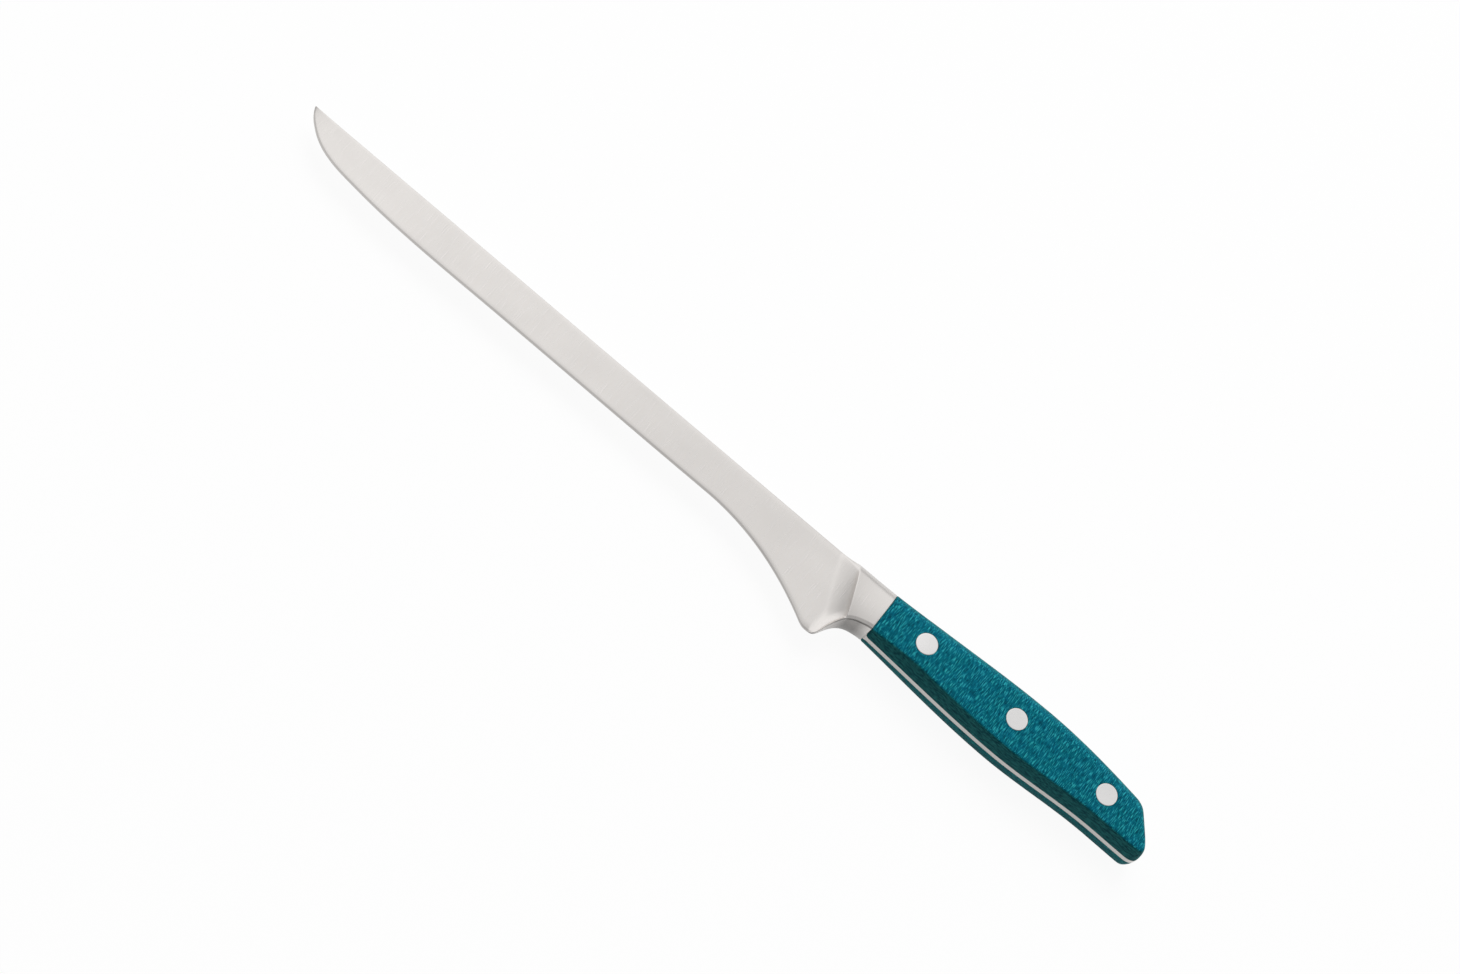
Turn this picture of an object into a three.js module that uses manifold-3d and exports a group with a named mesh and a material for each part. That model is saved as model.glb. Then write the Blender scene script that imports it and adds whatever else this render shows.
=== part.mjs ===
// Ham knife: one steel forging (slicing blade, bolster and full tang), two laminate scales and
// three two-piece cutlery rivets. Millimetres, +Z up. The knife lies on its right side, with the
// tip towards -X, the butt towards +X, the spine towards +Y and the cutting edge towards -Y.
// While it is built, x = 0 is the bolster's rear face, y = 0 the line through the rivets and
// z = 0 the middle plane of the blade.

import * as THREE from 'three';
import { mergeVertices } from 'three/addons/utils/BufferGeometryUtils.js';
import Module from 'manifold-3d';

const wasm = await Module();
wasm.setup();

// Blade
const BLADE_LENGTH = 250; // tip to the bolster's front ridge, on the rivet line
const BLADE_WIDTH = 15.9; // spine to edge along the slicing length
const SPINE_HEIGHT = 10.1; // spine above the rivet line, at the bolster
const TIP_RISE = 1.6; // how much higher the spine lies at the tip
const TIP_SWEEP = 83; // length over which the edge curves up to the tip
const SPINE_THICKNESS = 2.4; // at the bolster
const TIP_THICKNESS = 1.1; // of the spine just behind the tip
const FACE_THICKNESS = 0.5; // of the ground face where the sharpened bevel starts
const EDGE_THICKNESS = 0.2; // of the cutting edge itself
const BEVEL_WIDTH = 0.8; // of the sharpened bevel

// Heel and guard, measured from the bolster's rear face
const HEEL_SETBACK = 17.8; // to the lowest point of the heel
const HEEL_DEPTH = 31.6; // of that point below the spine
const HEEL_SWEEP = 56; // length over which the edge drops to the heel

// Bolster
const BOLSTER_LENGTH = 13; // front ridge to the scales, on the rivet line
const BOLSTER_THICKNESS = 12; // at its front ridge
const RIDGE_LEAN = THREE.MathUtils.degToRad(21); // of the ridge, its top towards the tip
const FILLET_RADIUS = 8.5; // of the hollow that runs from the ridge into the blade
const TAPER_START = -16; // where the sides begin to spread from the bolster's thickness
const TAPER_END = 22; // where they become flat and parallel

// Handle outline, heights above or below the rivet line
const HANDLE_LENGTH = 121; // bolster to butt
const HANDLE_THICKNESS = 18;
const FRONT_TOP = 9.95;
const FRONT_BELLY = -9.1;
const HUMP_DISTANCE = 66; // from the bolster to the highest point of the back
const HUMP_TOP = 12.45;
const PALM_DISTANCE = 59.5; // from the bolster to the deepest point of the belly
const PALM_BELLY = -12.1;
const WAIST_TO_BUTT = 20.8; // from the butt forward to the slimmest point of the belly
const WAIST_BELLY = -10;
const BUTT_CUT = 10; // length of the oblique cut, along the handle
const BUTT_TOP = 8.2; // where the oblique cut would meet the back
const BUTT_ROUND = 3.5; // from there to both ends of the rounded shoulder
const BUTT_KNEE = -1.5; // where the oblique cut rounds into the end
const BUTT_KNEE_TO_END = 2.9;
const BUTT_END = -7; // where the rounded end stands square to the handle
const BUTT_BELLY = -10.2;
const BUTT_CORNER = 4.5; // length of the rounded lower corner
const FRONT_CROWN = 17; // radius of the crowned back and belly at the bolster
const REAR_CROWN = 28.5; // and from the palm on
const BACK_RADIUS = 4; // along both edges of the back
const BACK_SHARE = 0.65; // most that this radius takes of half the thickness
const EDGE_RADIUS = 0.7; // along both edges of the belly and round the butt
const EDGE_SHARE = 0.1;
const TANG_THICKNESS = 2.5;
const TANG_ROOT = 1.5; // radius of the hollow between tang and bolster

// Cutlery rivets
const RIVETS = ['front', 'middle', 'rear'];
const FRONT_RIVET = 17.9; // from the bolster
const REAR_RIVET_TO_BUTT = 22.9;
const HEAD_DIAMETER = 8;
const HEAD_DEPTH = 2;
const TUBE_DIAMETER = 5;
const POST_DIAMETER = 3.2;

// Clearances
const BOND_LINE = 0.05; // between tang and scale
const BUTT_JOINT = 0.1; // between bolster and scale
const RIVET_FIT = 0.08; // round the heads, tubes and posts
const SEAT_FIT = 0.05; // under the heads
const POST_END = 0.5; // beyond the ends of tubes and posts

// Facets
const RIVET_FACETS = 32;
const CROWN_STEPS = 6;
const CORNER_STEPS = 5;
const ROOT_STEPS = 4;
const TIP_STEPS = 15;
const BLADE_STEPS = 4;
const SWEEP_STEPS = 10;
const GUARD_STEPS = 22;
const BOLSTER_STEPS = 6;
const HANDLE_STEPS = 26;
const SHOULDER_STEPS = 4;
const CUT_STEPS = 4;
const END_STEPS = 5;
const LEAN_SETBACK = 14; // ahead of the heel, where sections already lean as the ridge does
const HALVINGS = 50; // of the interval in which a section meets an outline
const THIN = 1.6; // half thickness below which the belly is flat, without crown or round corners

const TIP_X = -BOLSTER_LENGTH - BLADE_LENGTH;
const HEEL_X = -HEEL_SETBACK;
const HEEL_Y = SPINE_HEIGHT - HEEL_DEPTH;
const BEYOND = 2 * (BLADE_LENGTH + HANDLE_LENGTH); // larger than the knife
const { clamp, lerp, smoothstep } = THREE.MathUtils;

// Outline shapes as knots [along, across, slope] in a unit square.
const TIP_SHAPE = [[0, 0, 11], [0.066, 0.42, 4.35], [0.163, 0.704, 1.84], [0.361, 0.883, 0.56], [1, 1, 0]];
const HEEL_SHAPE = [[0, 0, 0], [0.94, 0.93, 2], [1, 1, 0]];
const GUARD_SHAPE = [[0, 0, 0], [0.27, 0.264, 3.24], [0.49, 0.767, 1.38], [0.75, 0.957, 0.28], [1, 1, 0]];
const BELLY_FRONT_SLOPE = -0.055;
const BUTT_TOP_SLOPE = -0.157;

// The knots of a unit shape, stretched from one point of the outline to another.
function stretched(shape, [x0, y0], [x1, y1]) {
  const width = x1 - x0;
  const height = y1 - y0;
  return shape.map(([along, across, slope]) => [
    x0 + along * width,
    y0 + across * height,
    (slope * height) / width,
  ]);
}

// The smooth curve through knots [x, y, slope], as a function of x.
function curveThrough(knots) {
  return (x) => {
    let i = 0;
    while (i < knots.length - 2 && x > knots[i + 1][0]) i += 1;
    const [x0, y0, slope0] = knots[i];
    const [x1, y1, slope1] = knots[i + 1];
    const t = (x - x0) / (x1 - x0);
    const s = 1 - t;
    const ends = s * s * (1 + 2 * t) * y0 + t * t * (3 - 2 * t) * y1;
    return ends + (x1 - x0) * (s * s * t * slope0 - t * t * s * slope1);
  };
}

// Heights of the spine and of the slicing edge, both straight.
const spineAt = (x) => SPINE_HEIGHT - (TIP_RISE * (x + BOLSTER_LENGTH)) / BLADE_LENGTH;
const edgeAt = (x) => spineAt(x) - BLADE_WIDTH;

// The top and bottom outlines in the middle plane, from the tip to the butt's corners.
const cutX = HANDLE_LENGTH - BUTT_CUT;
const shoulderX = cutX - BUTT_ROUND;
const cornerX = HANDLE_LENGTH - BUTT_CORNER;
const tip = [TIP_X, spineAt(TIP_X)];
const sweepEnd = [TIP_X + TIP_SWEEP, edgeAt(TIP_X + TIP_SWEEP)];
const sweepStart = [HEEL_X - HEEL_SWEEP, edgeAt(HEEL_X - HEEL_SWEEP)];
const heel = [HEEL_X, HEEL_Y];
const topAt = curveThrough([
  [...tip, -TIP_RISE / BLADE_LENGTH],
  [-BOLSTER_LENGTH, SPINE_HEIGHT, -TIP_RISE / BLADE_LENGTH],
  [0, FRONT_TOP, 0],
  [HUMP_DISTANCE, HUMP_TOP, 0],
  [cutX, BUTT_TOP, BUTT_TOP_SLOPE],
]);
const bottomAt = curveThrough([
  ...stretched(TIP_SHAPE, tip, sweepEnd),
  ...stretched(HEEL_SHAPE, sweepStart, heel),
  ...stretched(GUARD_SHAPE, heel, [0, FRONT_BELLY]).slice(1, -1),
  [0, FRONT_BELLY, BELLY_FRONT_SLOPE],
  [PALM_DISTANCE, PALM_BELLY, 0],
  [HANDLE_LENGTH - WAIST_TO_BUTT, WAIST_BELLY, 0],
  [cornerX, BUTT_BELLY, 0],
]);

// Half the thickness of bolster and handle.
function handleHalf(x) {
  const spread = smoothstep(x, TAPER_START, TAPER_END);
  return lerp(BOLSTER_THICKNESS, HANDLE_THICKNESS, spread) / 2;
}

// Radii of the crown and of the edges of the back, which sharpen towards the butt's end.
const crownAt = (x) => lerp(FRONT_CROWN, REAR_CROWN, smoothstep(x, 0, PALM_DISTANCE));
const backRadius = (x) => lerp(BACK_RADIUS, EDGE_RADIUS, smoothstep(x, shoulderX, HANDLE_LENGTH));

// Half the thickness of the flat-ground blade. Behind the heel the grind runs on level.
function bladeHalf(x, y) {
  const edge = x < HEEL_X ? bottomAt(x) : HEEL_Y;
  const spine = spineAt(x);
  const spineHalf = lerp(TIP_THICKNESS, SPINE_THICKNESS, (x - TIP_X) / BLADE_LENGTH) / 2;
  const share = spine > edge ? clamp((y - edge) / (spine - edge), 0, 1) : 0;
  const face = lerp(FACE_THICKNESS / 2, spineHalf, share);
  return lerp(EDGE_THICKNESS / 2, face, clamp((y - edge) / BEVEL_WIDTH, 0, 1));
}

// Half the thickness anywhere: blade, hollow fillet in front of the slanted ridge, then bolster.
function halfAt(x, y) {
  const ahead = (-BOLSTER_LENGTH - Math.tan(RIDGE_LEAN) * y - x) * Math.cos(RIDGE_LEAN);
  if (ahead <= 0) return handleHalf(x);
  const blade = bladeHalf(x, y);
  const rise = handleHalf(x) - blade;
  const radius = Math.max(FILLET_RADIUS, rise);
  const reach = Math.sqrt(radius * radius - (radius - rise) ** 2);
  const inFillet = Math.max(0, reach - ahead);
  return blade + radius - Math.sqrt(radius * radius - inFillet * inFillet);
}

// Evenly spaced numbers from start to end, without the start.
function steps(start, end, count) {
  return Array.from({ length: count }, (_, i) => lerp(start, end, (i + 1) / count));
}

// The places along the rivet line where the sections stand, close together where the form turns.
const fullLeanX = HEEL_X - LEAN_SETBACK;
const sectionPlaces = [
  TIP_X,
  ...steps(0, 1, TIP_STEPS).map((share) => TIP_X + share * share * TIP_SWEEP),
  ...steps(sweepEnd[0], sweepStart[0], BLADE_STEPS),
  ...steps(sweepStart[0], fullLeanX, SWEEP_STEPS),
  ...steps(fullLeanX, -BOLSTER_LENGTH, GUARD_STEPS),
  ...steps(-BOLSTER_LENGTH, 0, BOLSTER_STEPS),
  ...steps(0, shoulderX, HANDLE_STEPS),
];

// Sections lean with the ridge at the heel and bolster, and stand square to the knife elsewhere.
function leanAt(x) {
  const share = x < -BOLSTER_LENGTH
    ? clamp((x - sweepStart[0]) / (fullLeanX - sweepStart[0]), 0, 1)
    : clamp(-x / BOLSTER_LENGTH, 0, 1);
  return share * Math.tan(RIDGE_LEAN);
}

// Where the section through x on the rivet line meets an outline.
function meet(outlineAt, x) {
  const lean = leanAt(x);
  let low = x - HEEL_DEPTH;
  let high = x + HEEL_DEPTH;
  for (let i = 0; i < HALVINGS; i += 1) {
    const middle = (low + high) / 2;
    if (middle + lean * outlineAt(middle) < x) low = middle;
    else high = middle;
  }
  return lean > 0 ? new THREE.Vector2(low, outlineAt(low)) : new THREE.Vector2(x, outlineAt(x));
}

// The two outlines as points that face each other, section by section, with the butt's shoulder
// and oblique cut on the one and its rounded lower corner on the other.
function outlines() {
  const end = new THREE.Vector2(HANDLE_LENGTH, BUTT_END);
  const knee = new THREE.Vector2(HANDLE_LENGTH - BUTT_KNEE_TO_END, BUTT_KNEE);
  const cut = new THREE.Vector2(cutX, BUTT_TOP);
  const back = new THREE.Vector2(shoulderX, topAt(shoulderX));
  const below = cut.clone().lerp(knee, BUTT_ROUND / cut.distanceTo(knee));
  const shoulder = new THREE.QuadraticBezierCurve(back, cut, below);
  const straight = new THREE.LineCurve(below, knee);
  const kneeReach = knee.clone().lerp(cut, -BUTT_KNEE_TO_END / (knee.x - cutX));
  const round = new THREE.QuadraticBezierCurve(knee, kneeReach, end);
  const corner = new THREE.QuadraticBezierCurve(
    new THREE.Vector2(cornerX, BUTT_BELLY), new THREE.Vector2(HANDLE_LENGTH, BUTT_BELLY), end);
  const top = sectionPlaces.map((x) => meet(topAt, x));
  const bottom = sectionPlaces.map((x) => meet(bottomAt, x));
  const buttPlaces = steps(shoulderX, cornerX, SHOULDER_STEPS + CUT_STEPS);
  top.push(...shoulder.getPoints(SHOULDER_STEPS).slice(1));
  top.push(...straight.getPoints(CUT_STEPS).slice(1), ...round.getPoints(END_STEPS).slice(1));
  bottom.push(...buttPlaces.map((x) => new THREE.Vector2(x, bottomAt(x))));
  bottom.push(...corner.getPoints(END_STEPS).slice(1));
  return { top, bottom };
}

// Directions into the material along an outline: square to it, but along the section where that
// leans, and straight forward at the butt's end, which both outlines share.
function inwards(points, side) {
  return points.map((point, i) => {
    const next = points[Math.min(i + 1, points.length - 1)];
    const before = points[Math.max(i - 1, 0)];
    if (next === point) return new THREE.Vector2(-1, 0);
    const along = next.clone().sub(before).normalize();
    const square = new THREE.Vector2(-along.y * side, along.x * side);
    const lean = i < sectionPlaces.length ? leanAt(sectionPlaces[i]) : 0;
    const slant = new THREE.Vector2(-lean * side, side).normalize();
    slant.divideScalar(slant.dot(square));
    return square.lerp(slant, lean / Math.tan(RIDGE_LEAN));
  });
}

// The back or belly of one section, from -Z to +Z: a crown between two rounded corners. Each
// point is [inset from the outline, height]. A wall up to the given thinness is only two edges.
function wall(half, round, crownRadius, thin) {
  const flat = half - round;
  const corner = [0, ...steps(0, Math.PI / 2, CORNER_STEPS)].map((turn) => {
    const height = flat + round * Math.sin(turn);
    return [(height * height) / (2 * crownRadius) + round * (1 - Math.cos(turn)), height];
  });
  const crown = steps(-flat, flat, CROWN_STEPS).slice(0, -1)
    .map((height) => [(height * height) / (2 * crownRadius), height]);
  const lower = corner.map(([inset, height]) => [inset, -height]).reverse();
  const points = [...lower, ...crown, ...corner];
  if (half > thin) return points;
  return points.map((_, i) => [0, i < points.length / 2 ? -half : half]);
}

// One closed section: belly, left side, back, right side.
function section(bottom, bottomIn, top, topIn) {
  const place = (point, inward) => ([inset, height]) =>
    new THREE.Vector3(point.x + inward.x * inset, point.y + inward.y * inset, height);
  const lowHalf = halfAt(bottom.x, bottom.y);
  const highHalf = halfAt(top.x, top.y);
  const lowRound = Math.min(EDGE_RADIUS, EDGE_SHARE * lowHalf);
  const highRound = Math.min(backRadius(top.x), BACK_SHARE * highHalf);
  const belly = wall(lowHalf, lowRound, crownAt(bottom.x), THIN).map(place(bottom, bottomIn));
  const back = wall(highHalf, highRound, crownAt(top.x), EDGE_THICKNESS).map(place(top, topIn));
  const low = belly[belly.length - 1];
  const high = back[back.length - 1];
  const width = Math.max(low.distanceTo(high), 2 * BEVEL_WIDTH);
  const line = low.clone().lerp(high, BEVEL_WIDTH / width);
  line.z = low.distanceTo(high) > 0 ? halfAt(line.x, line.y) : low.z;
  const farLine = new THREE.Vector3(line.x, line.y, -line.z);
  return [...belly, line, ...back.reverse(), farLine];
}

// A solid from a closed geometry.
function solidOf(geometry) {
  const bare = geometry.clone();
  bare.deleteAttribute('normal');
  bare.deleteAttribute('uv');
  const merged = mergeVertices(bare);
  const corners = Array.from(merged.index.array);
  const triVerts = [];
  for (let i = 0; i < corners.length; i += 3) {
    const [a, b, c] = corners.slice(i, i + 3);
    if (a !== b && b !== c && c !== a) triVerts.push(a, b, c);
  }
  return new wasm.Manifold(new wasm.Mesh({
    numProp: 3,
    vertProperties: new Float32Array(merged.attributes.position.array),
    triVerts: new Uint32Array(triVerts),
  }));
}

// The whole knife as one solid blank, skinned over its sections from the tip to the butt.
function knifeBlank() {
  const { top, bottom } = outlines();
  const topIn = inwards(top, -1);
  const bottomIn = inwards(bottom, 1);
  const sections = bottom.map((point, i) => section(point, bottomIn[i], top[i], topIn[i]));
  const round = sections[0].length;
  const index = [];
  for (let i = 0; i + 1 < sections.length; i += 1) {
    for (let j = 0; j < round; j += 1) {
      const a = i * round + j;
      const b = i * round + ((j + 1) % round);
      index.push(a, a + round, b + round, a, b + round, b);
    }
  }
  const skin = new THREE.BufferGeometry().setFromPoints(sections.flat());
  skin.setIndex(index);
  return solidOf(skin);
}

// A block behind a given x, on one side of the middle plane, with a round edge at the tang's root.
function sideBlock(side, fromX, fromZ) {
  const outline = new THREE.Shape();
  outline.absarc(fromX + TANG_ROOT, fromZ + TANG_ROOT, TANG_ROOT, Math.PI, 1.5 * Math.PI, false);
  outline.lineTo(BEYOND, fromZ);
  outline.lineTo(BEYOND, BEYOND);
  outline.lineTo(fromX, BEYOND);
  const block = new THREE.ExtrudeGeometry(outline, {
    depth: BEYOND, bevelEnabled: false, curveSegments: ROOT_STEPS,
  });
  block.translate(0, 0, -BEYOND / 2);
  block.rotateX(side * Math.PI / 2);
  return solidOf(block);
}

// A round solid about a rivet's axis, from a profile of [radius, height].
function turned(profile, x) {
  const points = profile.map(([radius, height]) => new THREE.Vector2(radius, height));
  const round = new THREE.LatheGeometry(points, RIVET_FACETS);
  round.rotateX(Math.PI / 2);
  round.translate(x, 0, 0);
  return solidOf(round);
}

// A round bar between two heights on a rivet's axis.
function bar(diameter, from, to, x) {
  return turned([[0, from], [diameter / 2, from], [diameter / 2, to], [0, to]], x);
}

const rivetPlaces = RIVETS.map((_, i) =>
  lerp(FRONT_RIVET, HANDLE_LENGTH - REAR_RIVET_TO_BUTT, i / (RIVETS.length - 1)));
const headSeat = HANDLE_THICKNESS / 2 - HEAD_DEPTH;
const blank = knifeBlank();

// Blade, bolster and tang: the blank without the room for the scales, drilled for the rivets.
function forging() {
  let solid = blank
    .subtract(sideBlock(1, 0, TANG_THICKNESS / 2))
    .subtract(sideBlock(-1, 0, TANG_THICKNESS / 2));
  for (const x of rivetPlaces) {
    const hole = bar(TUBE_DIAMETER + 2 * RIVET_FIT, -TANG_THICKNESS, TANG_THICKNESS, x);
    solid = solid.subtract(hole);
  }
  return solid;
}

// A scale: the blank's side beyond the tang, drilled and counterbored for the rivets.
function scale(side) {
  let solid = blank.intersect(sideBlock(side, BUTT_JOINT, TANG_THICKNESS / 2 + BOND_LINE));
  for (const x of rivetPlaces) {
    const hole = bar(TUBE_DIAMETER + 2 * RIVET_FIT, -HANDLE_THICKNESS, HANDLE_THICKNESS, x);
    const ends = [side * (headSeat - SEAT_FIT), side * HANDLE_THICKNESS].sort((a, b) => a - b);
    solid = solid.subtract(hole).subtract(bar(HEAD_DIAMETER + 2 * RIVET_FIT, ...ends, x));
  }
  return solid;
}

// The rivet half with the tube, its head ground flush with the left scale.
function rivetBarrel(x) {
  const bore = POST_DIAMETER / 2 + RIVET_FIT;
  const tubeEnd = POST_END - headSeat;
  const profile = [
    [0, headSeat], [bore, headSeat], [bore, tubeEnd], [TUBE_DIAMETER / 2, tubeEnd],
    [TUBE_DIAMETER / 2, headSeat], [HEAD_DIAMETER / 2, headSeat],
    [HEAD_DIAMETER / 2, HANDLE_THICKNESS], [0, HANDLE_THICKNESS],
  ];
  return turned(profile, x).intersect(blank);
}

// The rivet half with the post, its head ground flush with the right scale.
function rivetPost(x) {
  const profile = [
    [0, -HANDLE_THICKNESS], [HEAD_DIAMETER / 2, -HANDLE_THICKNESS], [HEAD_DIAMETER / 2, -headSeat],
    [POST_DIAMETER / 2, -headSeat], [POST_DIAMETER / 2, headSeat - POST_END], [0, headSeat - POST_END],
  ];
  return turned(profile, x).intersect(blank);
}

const steel = new THREE.MeshStandardMaterial({ color: '#d8d5d1', roughness: 0.35, metalness: 1 });
const laminate = new THREE.MeshStandardMaterial({ color: '#0b6579', roughness: 0.6, metalness: 0 });

const knife = new THREE.Group();

// Adds a finished piece to the knife.
function addPiece(name, solid, material) {
  const { vertProperties, triVerts } = solid.getMesh();
  const geometry = new THREE.BufferGeometry();
  geometry.setAttribute('position', new THREE.BufferAttribute(vertProperties, 3));
  geometry.setIndex(new THREE.BufferAttribute(triVerts, 1));
  geometry.computeVertexNormals();
  const piece = new THREE.Mesh(geometry, material);
  piece.name = name;
  knife.add(piece);
}

addPiece('forging', forging(), steel);
addPiece('left_scale', scale(1), laminate);
addPiece('right_scale', scale(-1), laminate);
RIVETS.forEach((place, i) => {
  addPiece(`${place}_rivet_barrel`, rivetBarrel(rivetPlaces[i]), steel);
  addPiece(`${place}_rivet_post`, rivetPost(rivetPlaces[i]), steel);
});

// The part's origin is under the middle of the knife, on the surface that it lies on.
const extent = new THREE.Box3().setFromObject(knife);
const middle = extent.getCenter(new THREE.Vector3());
knife.position.set(-middle.x, -middle.y, -extent.min.z);

export default knife;
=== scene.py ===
import math

import bmesh
import bpy
import numpy as np
from mathutils import Matrix, Vector


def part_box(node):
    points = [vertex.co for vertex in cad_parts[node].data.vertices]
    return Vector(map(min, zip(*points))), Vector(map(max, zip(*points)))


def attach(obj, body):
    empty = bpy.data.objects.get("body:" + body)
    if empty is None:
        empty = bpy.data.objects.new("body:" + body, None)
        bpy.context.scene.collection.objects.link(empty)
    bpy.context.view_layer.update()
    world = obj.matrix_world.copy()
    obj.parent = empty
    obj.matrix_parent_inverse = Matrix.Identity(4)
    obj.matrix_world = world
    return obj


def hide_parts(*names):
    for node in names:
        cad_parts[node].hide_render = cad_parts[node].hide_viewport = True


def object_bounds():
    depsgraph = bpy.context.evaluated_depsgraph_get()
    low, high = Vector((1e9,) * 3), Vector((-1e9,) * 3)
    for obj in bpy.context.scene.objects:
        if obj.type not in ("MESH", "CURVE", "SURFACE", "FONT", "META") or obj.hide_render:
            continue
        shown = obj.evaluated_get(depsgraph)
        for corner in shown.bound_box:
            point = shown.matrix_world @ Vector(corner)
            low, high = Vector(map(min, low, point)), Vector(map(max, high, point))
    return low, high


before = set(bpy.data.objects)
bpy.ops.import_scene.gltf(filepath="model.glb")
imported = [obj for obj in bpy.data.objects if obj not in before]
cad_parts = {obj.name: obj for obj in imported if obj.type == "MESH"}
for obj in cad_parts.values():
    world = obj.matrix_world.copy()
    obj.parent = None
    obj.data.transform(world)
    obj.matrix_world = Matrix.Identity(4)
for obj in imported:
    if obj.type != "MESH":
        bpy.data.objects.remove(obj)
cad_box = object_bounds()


# Forging: blade, bolster and full tang are one piece of stainless steel, drop forged, ground flat
# to the edge and satin finished. The bolster's slanted ridge falls to the blade in a hollow fillet,
# and behind it the flat tang runs the length of the handle and carries the scales.

# Sizes in millimetres, from the bolster's rear face, the rivet line and the blade's middle plane.
MM = 0.001
BLADE_LENGTH = 250
BLADE_WIDTH = 15.9
SPINE_HEIGHT = 10.1
TIP_RISE = 1.6
TIP_SWEEP = 83
TIP_EASE = 8
SPINE_THICKNESS = 2.4
TIP_THICKNESS = 1.1
FACE_THICKNESS = 0.5
EDGE_THICKNESS = 0.08
BEVEL_WIDTH = 0.8
HEEL_SETBACK = 17.8
HEEL_DEPTH = 31.58
HEEL_SWEEP = 56

# The bolster, and the flare of its steel towards the finger guard's edge.
BOLSTER_LENGTH = 13
BOLSTER_THICKNESS = 12
RIDGE_LEAN = math.radians(21)
RIDGE_ROUND = 0.3
RIDGE_STEEPEST = 0.2
LEAN_SETBACK = 14
FILLET_RADIUS = 8.5
SIDE_CROWN = 0.7
SIDE_CROWN_FADE = -2
FLARE_RISE = 4.6
FLARE_WIDTH = 12
FLARE_START = -16.5
FLARE_END = -8
FLARE_CURVE = 1.5
FLARE_BLEND = 4

# The handle's form, which the scales and the tang's rim share.
HANDLE_LENGTH = 121
HANDLE_THICKNESS = 18
TAPER_START = -16
TAPER_END = 22
FRONT_TOP = 9.95
FRONT_BELLY = -9.1
FRONT_SLOPE = -0.055
HUMP_DISTANCE = 66
HUMP_TOP = 12.44
PALM_DISTANCE = 59.5
PALM_BELLY = -12.1
WAIST_TO_BUTT = 20.8
WAIST_BELLY = -10
BUTT_CUT = 10
BUTT_TOP = 8.2
BUTT_SLOPE = -0.157
BUTT_ROUND = 3.5
BUTT_KNEE = -1.5
BUTT_KNEE_TO_END = 2.9
BUTT_END = -7
BUTT_BELLY = -10.2
BUTT_CORNER = 4.5
FRONT_CROWN = 17
REAR_CROWN = 28.5
BACK_RADIUS = 4
BACK_SHARE = 0.65
EDGE_RADIUS = 0.7
EDGE_SHARE = 0.1

# The tang, the joint between bolster and scales, and the rivet holes.
TANG_THICKNESS = 2.5
TANG_ROOT = 1.5
BUTT_JOINT = 0.1
JOINT_ROUND = 0.35
JOINT_SHARE = 0.9
TUBE_DIAMETER = 5
RIVET_CLEARANCE = 0.16
TUBE_HOLE = TUBE_DIAMETER + RIVET_CLEARANCE
RIVET_COUNT = 3
FRONT_RIVET = 17.9
REAR_RIVET_TO_BUTT = 22.9
REAR_RIVET = HANDLE_LENGTH - REAR_RIVET_TO_BUTT

# The outline's sweeps as unit shapes: knots of share of length, share of height and slope.
TIP_SHAPE = [(0, 0, 11), (0.066, 0.42, 4.35), (0.163, 0.704, 1.84), (0.361, 0.883, 0.56), (1, 1, 0)]
HEEL_SHAPE = [(0, 0, 0), (0.94, 0.93, 2), (1, 1, 0)]
GUARD_SHAPE = [(0, 0, 0), (0.27, 0.264, 3.24), (0.49, 0.767, 1.38), (0.75, 0.957, 0.28), (1, 1, 0)]

tip_x = -BOLSTER_LENGTH - BLADE_LENGTH
heel_x = -HEEL_SETBACK
heel_y = SPINE_HEIGHT - HEEL_DEPTH
cut_x = HANDLE_LENGTH - BUTT_CUT
shoulder_x = cut_x - BUTT_ROUND
corner_x = HANDLE_LENGTH - BUTT_CORNER
sweep_end = tip_x + TIP_SWEEP
sweep_start = heel_x - HEEL_SWEEP
full_lean_x = heel_x - LEAN_SETBACK
rivet_places = np.linspace(FRONT_RIVET, REAR_RIVET, RIVET_COUNT)

# Where rear face, rivet line and middle plane meet in the frame.
barrel_low, barrel_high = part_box("front_rivet_barrel")
scale_low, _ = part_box("left_scale")
datum = Vector((
    scale_low.x - BUTT_JOINT * MM,
    (barrel_low.y + barrel_high.y) / 2,
    (cad_box[0][2] + cad_box[1][2]) / 2,
))


def clamped(value, low=0.0, high=1.0):
    return min(max(value, low), high)


def eased(value, start, end):
    """0 at the start and 1 at the end, with a smooth run between."""
    share = clamped((value - start) / (end - start))
    return share * share * (3 - 2 * share)


def stretched(shape, start, end):
    """Knots of a unit shape, stretched from one point of the outline to another."""
    width, height = end[0] - start[0], end[1] - start[1]
    return [(start[0] + a * width, start[1] + b * height, s * height / width) for a, b, s in shape]


def curve_through(knots):
    """The smooth curve through knots (x, y, slope), as a function of x."""
    def height(x):
        i = 0
        while i < len(knots) - 2 and x > knots[i + 1][0]:
            i += 1
        (x0, y0, slope0), (x1, y1, slope1) = knots[i], knots[i + 1]
        t = (x - x0) / (x1 - x0)
        s = 1 - t
        ends = s * s * (1 + 2 * t) * y0 + t * t * (3 - 2 * t) * y1
        return ends + (x1 - x0) * (s * s * t * slope0 - t * t * s * slope1)
    return height


def spine_at(x):
    return SPINE_HEIGHT - TIP_RISE * (x + BOLSTER_LENGTH) / BLADE_LENGTH


def edge_at(x):
    return spine_at(x) - BLADE_WIDTH


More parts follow.
